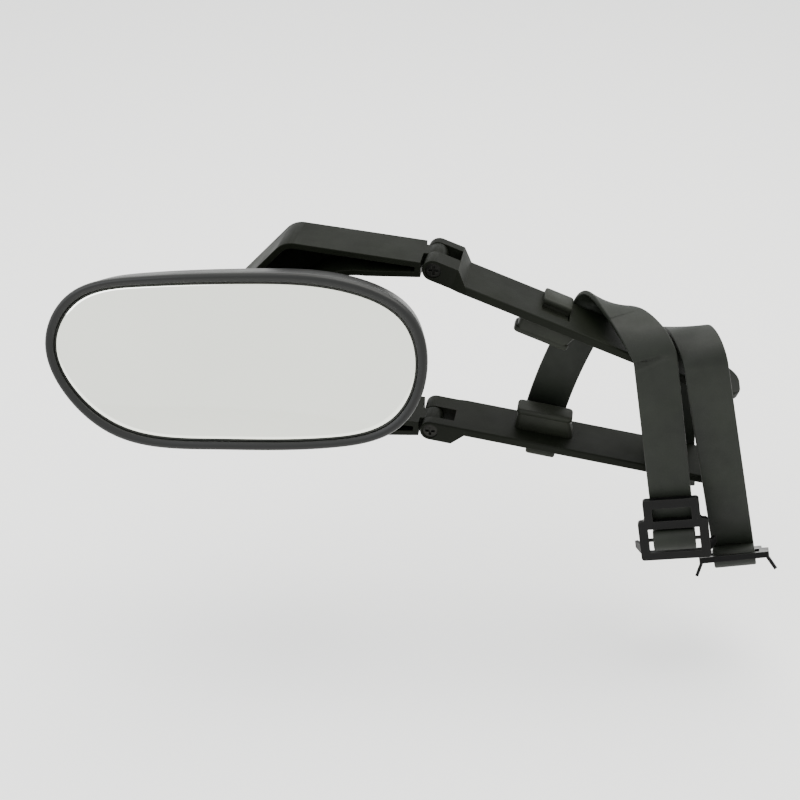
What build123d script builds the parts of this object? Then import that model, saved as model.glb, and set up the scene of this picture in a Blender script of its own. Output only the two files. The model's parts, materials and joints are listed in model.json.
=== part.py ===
"""Clamp-on towing mirror: an oval mirror on a ball stud, a C bracket, a two-armed jaw and two hook straps.

+X runs along the jaw, +Y away from the driver, +Z up, and the origin lies midway between the two jaw hinges.
"""
from build123d import *
from math import cos, pi, radians, sin, tan
import os

os.makedirs("parts", exist_ok=True)

# jaw arms
hinge_half_gap = 49.0  # from the origin up or down to a hinge axis
upper_droop = 20.0  # angle of the upper arm below level
lower_droop = 7.5
arm_length = 170.0
upper_arm_extra = 6.0
arm_half_width = 15.5
arm_tip_radius = 12.0
blade_thickness = 4.8
ear_radius = 5.8
fork_block_length = 12.0
fork_ramp_length = 6.5
fork_front_relief = 1.5  # the ear faces stand back this far from the blade's edge
slot_start = -2.5  # knuckle slot across the arm, counted towards its far side
slot_end = 9.0
slot_reach = 12.0  # past the hinge axis
arm_edge_fillet = 1.0

# hinge screw, in a barrel nut that the knuckle turns on
barrel_radius = 3.0
screw_radius = 1.9
head_radius = 4.2
head_height = 2.6
head_seat = 3.2
drive_length = 5.2
drive_width = 1.3
drive_depth = 1.4
running_gap = 0.05
fixed_gap = 0.1
side_gap = 0.3

# claws that grip the car's own mirror
claw_start = 46.0
upper_claw_shift = 7.0  # the upper claw stands this much further out than the lower one
claw_length = 29.0
claw_width = 11.0
claw_inset = 8.7
claw_height = 13.0
claw_cap_height = 3.5
claw_cap_overhang = 1.0
claw_corner_radius = 3.0
window_start = 54.0
window_length = 16.0
window_near = -7.5
window_far = 4.0
latch_height = 4.5
stem_wall = 1.8
stem_hollow = 6.0

# C bracket
bracket_half_depth = 14.0
leg_half_height = 4.3
leg_end = 6.6
corner_x = 79.0
corner_rise = 6.5
back_x = 122.0
back_half_height = 14.0
throat_x = 82.0
throat_start = 36.0
throat_rise = 1.5
knuckle_radius = 5.6
bracket_wall = 3.2
bracket_corner_radius = 12.0
stud_boss_radius = 11.0
stud_boss_height = 9.0

# ball joint
ball_x = -97.0
ball_y = -33.0
ball_z = 4.0
ball_radius = 9.0
stud_radius = 3.6
stud_thread_radius = 3.0
stud_collar_radius = 8.0
stud_collar_height = 3.0
stud_nut_across_flats = 10.0
stud_nut_height = 5.0
stud_thread_past_nut = 1.0
liner_wall = 2.0
socket_gap = 0.1
liner_mouth_angle = 48.0
socket_mouth_angle = 52.0
cup_body_radius = 20.0
cup_flange_radius = 27.0
cup_flange_height = 3.0
cup_nose_radius = 15.5
cup_nose_height = 14.0
ring_flange_height = 3.0
ring_throat_radius = 19.0
ring_mouth_radius = 15.0
ring_screw_circle = 23.5
ring_screw_count = 3
ring_screw_radius = 1.25
ring_screw_head_radius = 2.3
ring_screw_head_height = 1.8

# mirror head
lean_back = 16.0
glass_half_width = 95.8
glass_half_height = 43.0
glass_thickness = 2.2
glass_distance = 30.0  # from the ball's centre to the glass face
bezel_width = 4.6
bezel_rise = 0.9  # the rim stands proud of the glass
bezel_depth = 4.9
bezel_tongue_depth = 5.0
bezel_ledge = 3.0
pad_thickness = 1.0
pad_margin = 6.0
carrier_thickness = 2.6
housing_wall = 2.5
shoulder_depth = 11.0
back_edge_depth = 19.0
back_edge_width_share = 0.9
back_edge_height_share = 0.9
back_width_share = 0.62
back_height_share = 0.72
head_gap = 0.3

# straps
strap_width = 22.5
strap_thickness = 2.8
strap_rear_depth = 17.6  # from the arm's middle to a strap's rear run
strap_front_depth = 21.0
strap_arch_steps = 16
strap_rear_steps = 5
eye_radius = 6.0
eye_gap = 0.06
strap_stud_radius = 1.5
strap_stud_collar_radius = 2.6
strap_stud_head_radius = 3.5
strap_stud_head_height = 2.0
strap_stud_grip = 7.0
ladder_slot_width = 12.0
ladder_slot_height = 2.6
ladder_pitch = 5.4
ladder_end_margin = 5.0
ladder_slots = 5
# each strap: where its arch starts behind the arm and ends in front, its tail's end and its eye end
strap_1_rear = (84.3, 19.0)
strap_1_bow = -3.6  # sideways, at the middle of the rear run
strap_1_front = (117.6, 11.0)
strap_1_rise = 8.6  # of the arch over the arm
strap_1_tilt = -1.0  # of the crest, down along the arm
strap_1_tail = (58.5, -67.0)
strap_1_end = (138.0, -33.0, -91.0)
strap_2_rear = (130.9, 3.0)
strap_2_bow = -1.0
strap_2_front = (143.8, 8.8)
strap_2_rise = 11.0
strap_2_tilt = -10.0
strap_2_tail = (139.4, -93.0)
strap_2_end = (172.5, -21.0, -107.0)

# hooks
hook_thickness = 3.2
hook_width = 37.5
hook_lower_height = 24.0
hook_upper_width = 30.0
hook_total_height = 37.0
hook_window_width = 27.5
hook_window_height = 14.6
hook_bottom_bar = 4.6
hook_middle_bar = 4.8
hook_upper_window_width = 21.0
hook_upper_window_height = 7.8
hook_corner_radius = 1.7
hook_pin_radius = 1.0
hook_2_turn = 238.5  # how far the second hook is swung round its pin
hook_ear_length = 9.5
hook_ear_height = 6.4
hook_ear_taper = 1.1  # lost at the top and bottom of the tip
hook_ear_thickness = 1.8
hook_ear_flare = 27.0
hook_ear_rise = 2.2  # from the plate's bottom edge up to the ears
hook_pin_inset = 0.5

blade_outer = -(ear_radius - blade_thickness)
blade_inner = -ear_radius


def save(piece, name):
    """Label a finished piece and write it under its name."""
    piece.label = name
    export_step(piece, f"parts/{name}.step")


def arm_side_plane(side):
    """Side view of an arm: x along it, y away from the jaw, seen from its screw head side."""
    droop = radians(upper_droop if side > 0 else lower_droop)
    return Plane(
        origin=(0, 0, side * hinge_half_gap), x_dir=(cos(droop), 0, -sin(droop)), z_dir=(0, -side, 0)
    )


def arm_plan_plane(side):
    """Plan view of an arm: x along it, y towards the nut side, z away from the jaw."""
    droop = radians(upper_droop if side > 0 else lower_droop)
    return Plane(
        origin=(0, 0, side * hinge_half_gap),
        x_dir=(cos(droop), 0, -sin(droop)),
        z_dir=(side * sin(droop), 0, side * cos(droop)),
    )


# ---- the two jaw arms and what is fastened in them ----
strap_rear_runs = {1: (strap_1_rear, strap_1_tail, strap_1_bow), 2: (strap_2_rear, strap_2_tail, strap_2_bow)}
upper_fall = tan(radians(upper_droop))
blade_middle = (blade_outer + blade_inner) / 2 / cos(radians(upper_droop))


def strap_rear_x(number, height):
    """Middle of a strap's bowed rear run at a height."""
    (start_x, start_z), (tail_x, tail_z), bow = strap_rear_runs[number]
    share = (height - tail_z) / (start_z - tail_z)
    return tail_x + share * (start_x - tail_x) + 4 * bow * share * (1 - share)


def strap_stud_point(number):
    """Where a strap's rear run crosses the middle of the upper arm's far edge."""
    x = strap_rear_runs[number][0][0]
    for _ in range(20):
        z = hinge_half_gap + blade_middle - x * upper_fall
        x = strap_rear_x(number, z)
    return x, z


for side, place in ((1, "upper"), (-1, "lower")):
    profile_plane = arm_side_plane(side)
    plan_plane = arm_plan_plane(side)
    ear_face = arm_half_width - fork_front_relief
    hinge_plane = Plane(origin=(0, 0, side * hinge_half_gap), x_dir=(1, 0, 0), z_dir=(0, -1, 0))
    near_face = ear_face if side > 0 else arm_half_width
    far_face = arm_half_width if side > 0 else ear_face
    tip_half = arm_half_width - arm_tip_radius
    ramp_end = fork_block_length + fork_ramp_length
    claw_shift = upper_claw_shift if side > 0 else 0.0
    window_middle = window_start + claw_shift + window_length / 2
    blade_end = arm_length + (upper_arm_extra if side > 0 else 0.0)
    tip_start = blade_end - arm_tip_radius

    with BuildPart() as arm:
        with BuildSketch(profile_plane):
            with BuildLine():
                Polyline(
                    (0, ear_radius),
                    (fork_block_length, ear_radius),
                    (ramp_end, blade_outer),
                    (blade_end, blade_outer),
                    (blade_end, blade_inner),
                    (0, blade_inner),
                )
                ThreePointArc((0, blade_inner), (-ear_radius, 0), (0, ear_radius))
            make_face()
        extrude(amount=arm_half_width, both=True)
        with BuildSketch(plan_plane.offset(-2 * ear_radius)):
            with BuildLine():
                Polyline(
                    (tip_start, arm_half_width),
                    (-2 * ear_radius, arm_half_width),
                    (-2 * ear_radius, -ear_face),
                    (fork_block_length, -ear_face),
                    (ramp_end + fork_front_relief, -arm_half_width),
                    (tip_start, -arm_half_width),
                )
                tip_corner = arm_tip_radius * (1 - sin(pi / 4))
                ThreePointArc(
                    (tip_start, -arm_half_width),
                    (blade_end - tip_corner, -arm_half_width + tip_corner),
                    (blade_end, -tip_half),
                )
                Line((blade_end, -tip_half), (blade_end, tip_half))
                ThreePointArc(
                    (blade_end, tip_half),
                    (blade_end - tip_corner, arm_half_width - tip_corner),
                    (tip_start, arm_half_width),
                )
            make_face()
        extrude(amount=4 * ear_radius, mode=Mode.INTERSECT)
        straight_edges = arm.edges().filter_by(GeomType.LINE)
        blade_edges = straight_edges.filter_by(lambda edge: edge.length > arm_length / 2)
        fillet(blade_edges, radius=arm_edge_fillet)
        # slot for the bracket's knuckle
        with BuildSketch(plan_plane.offset(-2 * ear_radius)):
            with Locations(((slot_reach - 2 * ear_radius) / 2, (slot_start + slot_end) / 2)):
                Rectangle(slot_reach + 2 * ear_radius, slot_end - slot_start)
        extrude(amount=4 * ear_radius, mode=Mode.SUBTRACT)
        # barrel bore, with a round seat in each ear
        with BuildSketch(hinge_plane.offset(-far_face)):
            Circle(barrel_radius + fixed_gap)
        extrude(amount=near_face + far_face, mode=Mode.SUBTRACT)
        with BuildSketch(hinge_plane.offset(near_face - head_seat)):
            Circle(head_radius + fixed_gap)
        extrude(amount=head_seat, mode=Mode.SUBTRACT)
        with BuildSketch(hinge_plane.offset(-far_face)):
            Circle(head_radius + fixed_gap)
        extrude(amount=head_seat, mode=Mode.SUBTRACT)
        # window that the claw's stem clips through
        with BuildSketch(plan_plane.offset(-2 * ear_radius)):
            with Locations((window_middle, (window_near + window_far) / 2)):
                Rectangle(window_length, window_far - window_near)
        extrude(amount=4 * ear_radius, mode=Mode.SUBTRACT)
        if side > 0:
            # holes for the strap studs, in the far edge
            for number in strap_rear_runs:
                stud_x, stud_z = strap_stud_point(number)
                with BuildSketch(Plane.XZ.offset(-arm_half_width)):
                    with Locations((stud_x, stud_z)):
                        Circle(strap_stud_radius + running_gap)
                extrude(amount=strap_stud_grip + side_gap, mode=Mode.SUBTRACT)
    save(arm.part, f"{place}_arm")

    with BuildPart() as hinge_screw:
        with BuildSketch(hinge_plane.offset(-far_face + head_seat)):
            Circle(screw_radius)
        extrude(amount=near_face + far_face - 2 * head_seat)
        with BuildSketch(hinge_plane.offset(near_face - head_seat)):
            Circle(head_radius)
        extrude(amount=head_height)
        with BuildSketch(hinge_plane.offset(near_face - head_seat + head_height - drive_depth)):
            Rectangle(drive_length, drive_width)
            Rectangle(drive_width, drive_length)
        extrude(amount=drive_depth, mode=Mode.SUBTRACT)
    save(hinge_screw.part, f"{place}_hinge_screw")

    with BuildPart() as hinge_barrel:
        with BuildSketch(hinge_plane.offset(-far_face + head_seat)):
            Circle(barrel_radius)
            Circle(screw_radius + fixed_gap, mode=Mode.SUBTRACT)
        extrude(amount=near_face + far_face - 2 * head_seat)
        with BuildSketch(hinge_plane.offset(-far_face + head_seat - head_height)):
            Circle(head_radius)
        extrude(amount=head_height)
        with BuildSketch(hinge_plane.offset(-far_face + head_seat - head_height)):
            Rectangle(drive_length, drive_width)
        extrude(amount=drive_depth, mode=Mode.SUBTRACT)
    save(hinge_barrel.part, f"{place}_hinge_barrel")

    # claw: a grip block on the jaw side, a stem up through the window and a latch over the blade
    claw_near = claw_inset - arm_half_width
    claw_middle = claw_start + claw_shift + claw_length / 2
    stem_length = window_length - 2 * fixed_gap
    stem_width = window_far - window_near - 2 * fixed_gap
    latch_width = arm_half_width - arm_edge_fillet - window_near - fixed_gap
    with BuildPart() as claw:
        with BuildSketch(plan_plane.offset(blade_inner - claw_height)):
            with Locations((claw_middle, claw_near + claw_width / 2)):
                RectangleRounded(
                    claw_length + 2 * claw_cap_overhang, claw_width + claw_cap_overhang, claw_corner_radius
                )
        extrude(amount=claw_cap_height)
        with BuildSketch(plan_plane.offset(blade_inner - claw_height + claw_cap_height)):
            with Locations((claw_middle, claw_near + claw_width / 2)):
                RectangleRounded(claw_length, claw_width, claw_corner_radius)
        extrude(amount=claw_height - claw_cap_height)
        with BuildSketch(plan_plane.offset(blade_inner)):
            with Locations((window_middle, (window_near + window_far) / 2)):
                Rectangle(stem_length, stem_width)
        extrude(amount=blade_thickness)
        with BuildSketch(plan_plane.offset(blade_outer)):
            with Locations((window_middle, window_near + fixed_gap + latch_width / 2)):
                Rectangle(stem_length, latch_width)
        extrude(amount=latch_height)
        # the stem and latch are hollowed from the near side
        with BuildSketch(plan_plane.offset(blade_inner)):
            with Locations((window_middle, window_near + stem_hollow / 2)):
                Rectangle(stem_length - 2 * stem_wall, stem_hollow)
        extrude(amount=blade_thickness + latch_height - stem_wall, mode=Mode.SUBTRACT)
    save(claw.part, f"{place}_claw")


# ---- C bracket ----
def bracket_outline():
    """The bracket's side view: two legs joined by a deep back."""
    leg_top = hinge_half_gap + leg_half_height
    leg_bottom = hinge_half_gap - leg_half_height
    with BuildLine() as edge_line:
        Polyline(
            (-throat_start, leg_bottom - throat_rise),
            (-leg_end, leg_bottom),
            (-leg_end, leg_top),
            (-corner_x, leg_top + corner_rise),
            (-back_x, back_half_height),
            (-back_x, -back_half_height),
            (-corner_x, -leg_top - corner_rise),
            (-leg_end, -leg_top),
            (-leg_end, -leg_bottom),
            (-throat_start, -leg_bottom + throat_rise),
        )
        ThreePointArc(
            (-throat_start, -leg_bottom + throat_rise),
            (-throat_x, 0),
            (-throat_start, leg_bottom - throat_rise),
        )
    return edge_line.edges()


def behind_corner(vertex):
    """A corner of the outline at the bracket's back, or where a leg turns down to it."""
    return vertex.X < -corner_x + bracket_wall


with BuildPart() as bracket:
    with BuildSketch(Plane.XZ.offset(-bracket_half_depth)) as outline:
        make_face(bracket_outline())
        fillet(outline.vertices().filter_by(behind_corner), radius=bracket_corner_radius)
    extrude(amount=2 * bracket_half_depth)
    with BuildSketch(Plane.XZ.offset(-bracket_half_depth + bracket_wall)) as pocket:
        make_face(bracket_outline())
        fillet(pocket.vertices().filter_by(behind_corner), radius=bracket_corner_radius)
        offset(amount=-bracket_wall)
    extrude(amount=2 * bracket_half_depth - bracket_wall, mode=Mode.SUBTRACT)
    # boss for the ball stud
    with BuildSketch(Plane.XZ.offset(-bracket_half_depth + bracket_wall)):
        with Locations((ball_x, ball_z)):
            Circle(stud_boss_radius)
    extrude(amount=stud_boss_height)
    with BuildSketch(Plane.XZ.offset(-bracket_half_depth)):
        with Locations((ball_x, ball_z)):
            Circle(stud_thread_radius + fixed_gap)
    extrude(amount=bracket_wall + stud_boss_height, mode=Mode.SUBTRACT)
    # a knuckle at the end of each leg
    for side in (1, -1):
        knuckle_near = -slot_start if side > 0 else slot_end
        knuckle_width = slot_end - slot_start - 2 * side_gap
        with BuildSketch(Plane.XZ.offset(knuckle_near - side_gap)):
            with Locations((0, side * hinge_half_gap)):
                Circle(knuckle_radius)
            with Locations((-(leg_end + bracket_wall) / 2, side * hinge_half_gap)):
                Rectangle(leg_end + bracket_wall, 2 * leg_half_height)
        extrude(amount=-knuckle_width)
        with BuildSketch(Plane.XZ.offset(-bracket_half_depth)):
            with Locations((0, side * hinge_half_gap)):
                Circle(barrel_radius + running_gap)
        extrude(amount=2 * bracket_half_depth, mode=Mode.SUBTRACT)
save(bracket.part, "bracket")

# ---- ball stud ----
ball_centre = Vector(ball_x, ball_y, ball_z)
boss_face = bracket_half_depth - bracket_wall - stud_boss_height
stud_profile_plane = Plane(origin=(ball_x, 0, ball_z), x_dir=(1, 0, 0), z_dir=(0, 0, 1))
stud_axis = Axis((ball_x, 0, ball_z), (0, 1, 0))
ball_flat = (ball_radius**2 - stud_radius**2) ** 0.5
with BuildPart() as ball_stud:
    with BuildSketch(stud_profile_plane):
        with BuildLine():
            ThreePointArc((0, ball_y - ball_radius), (ball_radius, ball_y), (stud_radius, ball_y + ball_flat))
            Polyline(
                (stud_radius, ball_y + ball_flat),
                (stud_radius, boss_face - stud_collar_height),
                (stud_collar_radius, boss_face - stud_collar_height),
                (stud_collar_radius, boss_face),
                (stud_thread_radius, boss_face),
                (stud_thread_radius, bracket_half_depth + stud_nut_height + stud_thread_past_nut),
                (0, bracket_half_depth + stud_nut_height + stud_thread_past_nut),
                (0, ball_y - ball_radius),
            )
        make_face()
    revolve(axis=stud_axis)
save(ball_stud.part, "ball_stud")

with BuildPart() as stud_nut:
    with BuildSketch(Plane.XZ.offset(-bracket_half_depth - stud_nut_height)):
        with Locations((ball_x, ball_z)):
            RegularPolygon(stud_nut_across_flats / 2 / cos(pi / 6), 6)
            Circle(stud_thread_radius, mode=Mode.SUBTRACT)
    extrude(amount=stud_nut_height)
save(stud_nut.part, "ball_stud_nut")

# ---- ball socket ----
liner_inner = ball_radius + socket_gap
liner_outer = liner_inner + liner_wall
socket_radius = liner_outer + socket_gap


def on_circle(radius, angle):
    """A point on a circle about the ball's centre, the angle counted from the mouth side of the axis."""
    return radius * sin(radians(angle)), -radius * cos(radians(angle))


liner_profile_plane = Plane(origin=ball_centre, x_dir=(1, 0, 0), z_dir=(0, 0, 1))
with BuildPart() as liner:
    with BuildSketch(liner_profile_plane) as liner_section:
        with BuildLine():
            inner_rim = on_circle(liner_inner, liner_mouth_angle)
            outer_rim = on_circle(liner_outer, liner_mouth_angle)
            middle = (180 + liner_mouth_angle) / 2
            ThreePointArc(inner_rim, on_circle(liner_inner, middle), (0, liner_inner))
            Line((0, liner_inner), (0, liner_outer))
            ThreePointArc((0, liner_outer), on_circle(liner_outer, middle), outer_rim)
            Line(outer_rim, inner_rim)
        make_face()
        mirror(about=Plane.XZ, mode=Mode.REPLACE)
    revolve(axis=Axis(ball_centre, (0, 1, 0)))
save(liner.part, "socket_liner")

# the head's own frame: x along the mirror, y up the glass, z out of the glass towards the driver
glass_normal = Vector(0, -cos(radians(lean_back)), sin(radians(lean_back)))
head_plane = Plane(origin=ball_centre, x_dir=(1, 0, 0), z_dir=glass_normal)
head_section_plane = Plane(origin=ball_centre, x_dir=(1, 0, 0), z_dir=Vector(1, 0, 0).cross(glass_normal))
head_axis = Axis(ball_centre, glass_normal)

with BuildPart() as socket_cup:
    with BuildSketch(head_section_plane):
        with BuildLine():
            Polyline(
                (socket_radius, 0),
                (cup_body_radius, 0),
                (cup_body_radius, housing_wall),
                (cup_flange_radius, housing_wall),
                (cup_flange_radius, housing_wall + cup_flange_height),
                (cup_nose_radius, housing_wall + cup_flange_height),
                (cup_nose_radius, cup_nose_height),
                (0, cup_nose_height),
                (0, socket_radius),
            )
            ThreePointArc((0, socket_radius), on_circle(socket_radius, 135), (socket_radius, 0))
        make_face()
    revolve(axis=head_axis)
    with BuildSketch(head_plane):
        with PolarLocations(ring_screw_circle, ring_screw_count, start_angle=90):
            Circle(ring_screw_radius)
    extrude(amount=housing_wall + cup_flange_height, mode=Mode.SUBTRACT)
save(socket_cup.part, "socket_cup")

with BuildPart() as socket_ring:
    with BuildSketch(head_section_plane):
        mouth = on_circle(socket_radius, socket_mouth_angle)
        with BuildLine():
            Polyline(
                (socket_radius, 0),
                (cup_flange_radius, 0),
                (cup_flange_radius, -ring_flange_height),
                (ring_throat_radius, -ring_flange_height),
                (ring_mouth_radius, mouth[1]),
                mouth,
            )
            ThreePointArc(mouth, on_circle(socket_radius, (90 + socket_mouth_angle) / 2), (socket_radius, 0))
        make_face()
    revolve(axis=head_axis)
    with BuildSketch(head_plane.offset(-ring_flange_height)):
        with PolarLocations(ring_screw_circle, ring_screw_count, start_angle=90):
            Circle(ring_screw_radius + fixed_gap)
    extrude(amount=ring_flange_height, mode=Mode.SUBTRACT)
save(socket_ring.part, "socket_ring")

with BuildPart() as socket_screws:
    with BuildSketch(head_plane.offset(-ring_flange_height)):
        with PolarLocations(ring_screw_circle, ring_screw_count, start_angle=90):
            Circle(ring_screw_radius)
    extrude(amount=ring_flange_height + housing_wall + cup_flange_height)
    with BuildSketch(head_plane.offset(-ring_flange_height - ring_screw_head_height)):
        with PolarLocations(ring_screw_circle, ring_screw_count, start_angle=90):
            Circle(ring_screw_head_radius)
    extrude(amount=ring_screw_head_height)
save(socket_screws.part, "socket_screws")


# ---- mirror head ----
def head_outline(grow, width_share=1.0, height_share=1.0):
    """The egg-shaped outline of the glass, grown all round, or drawn in towards the head's back."""
    half_width = (glass_half_width + grow) * width_share
    half_height = (glass_half_height + grow) * height_share
    shares = (
        (-1.0, 0.05),
        (-0.88, 0.6),
        (-0.53, 0.86),
        (0.1, 1.0),
        (0.63, 0.97),
        (0.92, 0.66),
        (1.0, 0.05),
        (0.88, -0.56),
        (0.53, -0.86),
        (-0.1, -1.0),
        (-0.64, -0.93),
        (-0.9, -0.5),
    )
    with BuildLine() as edge_line:
        Spline([(x * half_width, y * half_height) for x, y in shares], periodic=True)
    return edge_line.edges()


glass_back = glass_distance - glass_thickness
pad_back = glass_back - pad_thickness
carrier_back = pad_back - carrier_thickness
rim_front = glass_distance + bezel_rise
rim_back = rim_front - bezel_depth

with BuildPart() as glass:
    with BuildSketch(head_plane.offset(glass_back)):
        make_face(head_outline(-head_gap))
    extrude(amount=glass_thickness)
save(glass.part, "mirror_glass")

with BuildPart() as pad:
    with BuildSketch(head_plane.offset(pad_back)):
        make_face(head_outline(-pad_margin))
    extrude(amount=pad_thickness)
save(pad.part, "adhesive_pad")

with BuildPart() as carrier:
    with BuildSketch(head_plane.offset(carrier_back)):
        make_face(head_outline(-head_gap))
    extrude(amount=carrier_thickness)
save(carrier.part, "glass_carrier")

tongue_outer = bezel_width - housing_wall - head_gap
with BuildPart() as bezel:
    with BuildSketch(head_plane.offset(rim_back)):
        make_face(head_outline(bezel_width))
    extrude(amount=bezel_depth)
    with BuildSketch(head_plane.offset(rim_back - bezel_tongue_depth)):
        make_face(head_outline(tongue_outer))
    extrude(amount=bezel_tongue_depth)
    with BuildSketch(head_plane.offset(carrier_back)):
        make_face(head_outline(0))
    extrude(amount=rim_front - carrier_back, mode=Mode.SUBTRACT)
    with BuildSketch(head_plane.offset(rim_back - bezel_tongue_depth)):
        make_face(head_outline(-bezel_ledge))
    extrude(amount=rim_front - rim_back + bezel_tongue_depth, mode=Mode.SUBTRACT)
save(bezel.part, "mirror_bezel")

housing_sections = (
    (rim_back, bezel_width, 1.0, 1.0),
    (rim_back - shoulder_depth, bezel_width, 1.0, 1.0),
    (rim_back - back_edge_depth, bezel_width, back_edge_width_share, back_edge_height_share),
    (0, bezel_width, back_width_share, back_height_share),
)
with BuildPart() as housing:
    for depth, grow, width_share, height_share in housing_sections:
        with BuildSketch(head_plane.offset(depth)):
            make_face(head_outline(grow, width_share, height_share))
    loft()
    for depth, grow, width_share, height_share in housing_sections:
        raised = depth if depth else housing_wall
        with BuildSketch(head_plane.offset(raised)):
            make_face(head_outline(grow - housing_wall, width_share, height_share))
    loft(mode=Mode.SUBTRACT)
    with BuildSketch(head_plane):
        Circle(cup_body_radius + fixed_gap)
        with PolarLocations(ring_screw_circle, ring_screw_count, start_angle=90):
            Circle(ring_screw_radius + fixed_gap)
    extrude(amount=housing_wall, mode=Mode.SUBTRACT)
save(housing.part, "mirror_housing")


# ---- straps over the upper arm, each with a hook on its eye ----
def unit(vector):
    """The vector at length 1."""
    return vector * (1 / vector.length)


def across(outward, along):
    """The strap's width direction, square to its run."""
    return unit(outward.cross(along))


for number, front, rise, tilt, end, hook_turn in (
    (1, strap_1_front, strap_1_rise, strap_1_tilt, strap_1_end, 0.0),
    (2, strap_2_front, strap_2_rise, strap_2_tilt, strap_2_end, hook_2_turn),
):
    rear, tail, bow = strap_rear_runs[number]
    rear_top = Vector(rear[0], strap_rear_depth, rear[1])
    front_top = Vector(front[0], -strap_front_depth, front[1])
    tail_end = Vector(tail[0], strap_rear_depth, tail[1])
    eye_end = Vector(*end)
    tail_run = rear_top - tail_end
    eye_run = eye_end - front_top
    # stations along the strap: position, outward direction, direction of the run
    stations = []
    for step in range(strap_rear_steps):
        share = step / strap_rear_steps
        place = tail_end + tail_run * share + Vector(4 * bow * share * (1 - share), 0, 0)
        stations.append((place, Vector(0, 1, 0), tail_run + Vector(4 * bow * (1 - 2 * share), 0, 0)))
    lean_in = (tail_run.X - 4 * bow) / tail_run.Z * pi * rise
    lean_out = -eye_run.X / eye_run.Z * pi * rise
    for step in range(strap_arch_steps + 1):
        share = step / strap_arch_steps
        turn = pi * share
        depth = strap_rear_depth if turn < pi / 2 else strap_front_depth
        # half a turn, tilted at its crest, that eases from the tail's slope to the front run's
        outward = Vector(sin(radians(tilt)) * sin(turn), cos(turn), cos(radians(tilt)) * sin(turn))
        ease = 3 * share**2 - 2 * share**3
        lean = lean_in * (share - 2 * share**2 + share**3) + lean_out * (share**3 - share**2)
        x = rear_top.X + (front_top.X - rear_top.X) * ease + lean
        z = rear_top.Z + (front_top.Z - rear_top.Z) * ease + rise * sin(turn)
        slope = 6 * (share - share**2)
        lean_slope = lean_in * (1 - 4 * share + 3 * share**2) + lean_out * (3 * share**2 - 2 * share)
        arch_along = Vector(
            (front_top.X - rear_top.X) * slope + lean_slope,
            -pi * depth * sin(turn),
            (front_top.Z - rear_top.Z) * slope + pi * rise * cos(turn),
        )
        stations.append((Vector(x, depth * cos(turn), z), outward, arch_along))
    stations.append((eye_end, Vector(0, -1, 0), eye_run))

    width_axis = across(Vector(0, -1, 0), eye_run)
    eye_front = unit(unit(eye_run).cross(width_axis))
    eye_centre = eye_end + eye_front * (eye_radius - strap_thickness / 2)
    eye_plane = Plane(origin=eye_centre, x_dir=eye_front, z_dir=width_axis)
    stud_x, stud_z = strap_stud_point(number)

    with BuildPart() as strap:
        for place, outward, along in stations:
            with BuildSketch(Plane(origin=place, x_dir=across(outward, along), z_dir=unit(along))):
                Rectangle(strap_width, strap_thickness)
        loft(ruled=True)
        with BuildSketch(eye_plane):
            Circle(eye_radius)
        extrude(amount=strap_width / 2, both=True)
        with BuildSketch(eye_plane):
            Circle(hook_pin_radius + eye_gap)
        extrude(amount=strap_width, both=True, mode=Mode.SUBTRACT)
        # adjusting slots in the tail
        tail_start = tail_run + Vector(4 * bow, 0, 0)
        ladder_plane = Plane(
            origin=tail_end, x_dir=across(Vector(0, 1, 0), tail_start), z_dir=(0, -1, 0)
        )
        for slot in range(ladder_slots):
            with BuildSketch(ladder_plane.offset(-strap_thickness)):
                with Locations((0, ladder_end_margin + slot * ladder_pitch)):
                    Rectangle(ladder_slot_width, ladder_slot_height)
            extrude(amount=2 * strap_thickness, mode=Mode.SUBTRACT)
        with BuildSketch(Plane.XZ.offset(-arm_half_width)):
            with Locations((stud_x, stud_z)):
                Circle(strap_stud_radius + fixed_gap)
        extrude(amount=-strap_rear_depth, mode=Mode.SUBTRACT)
    save(strap.part, f"strap_{number}")

    stud_seat = strap_rear_depth + strap_thickness / 2
    stud_collar_end = strap_rear_depth - strap_thickness / 2 - side_gap
    with BuildPart() as strap_stud:
        with BuildSketch(Plane.XZ.offset(strap_stud_grip - arm_half_width)):
            with Locations((stud_x, stud_z)):
                Circle(strap_stud_radius)
        extrude(amount=-(strap_stud_grip + stud_seat - arm_half_width))
        with BuildSketch(Plane.XZ.offset(-arm_half_width)):
            with Locations((stud_x, stud_z)):
                Circle(strap_stud_collar_radius)
        extrude(amount=-(stud_collar_end - arm_half_width))
        with BuildSketch(Plane.XZ.offset(-stud_seat)):
            with Locations((stud_x, stud_z)):
                Circle(strap_stud_head_radius)
        extrude(amount=-strap_stud_head_height)
    save(strap_stud.part, f"strap_{number}_stud")

    # hook plate: y up the plate, z out of its front, the pin through its origin
    strap_up = unit(eye_run) * -1
    turned = radians(hook_turn)
    hook_front = eye_front * cos(turned) - strap_up * sin(turned)
    hook_plane = Plane(origin=eye_centre, x_dir=width_axis, z_dir=hook_front)
    hook_bottom = -hook_window_height / 2 - hook_bottom_bar
    hook_shoulder = hook_bottom + hook_lower_height
    hook_top = hook_bottom + hook_total_height
    upper_window_bottom = hook_window_height / 2 + hook_middle_bar
    with BuildPart() as hook:
        with BuildSketch(hook_plane.offset(-hook_thickness / 2)) as plate:
            with Locations((0, (hook_bottom + hook_shoulder) / 2)):
                Rectangle(hook_width, hook_lower_height)
            with Locations((0, (hook_bottom + hook_top) / 2)):
                Rectangle(hook_upper_width, hook_total_height)
            fillet(plate.vertices(), radius=hook_corner_radius)
            Rectangle(hook_window_width, hook_window_height, mode=Mode.SUBTRACT)
            with Locations((0, upper_window_bottom + hook_upper_window_height / 2)):
                Rectangle(hook_upper_window_width, hook_upper_window_height, mode=Mode.SUBTRACT)
        extrude(amount=hook_thickness)
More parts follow.
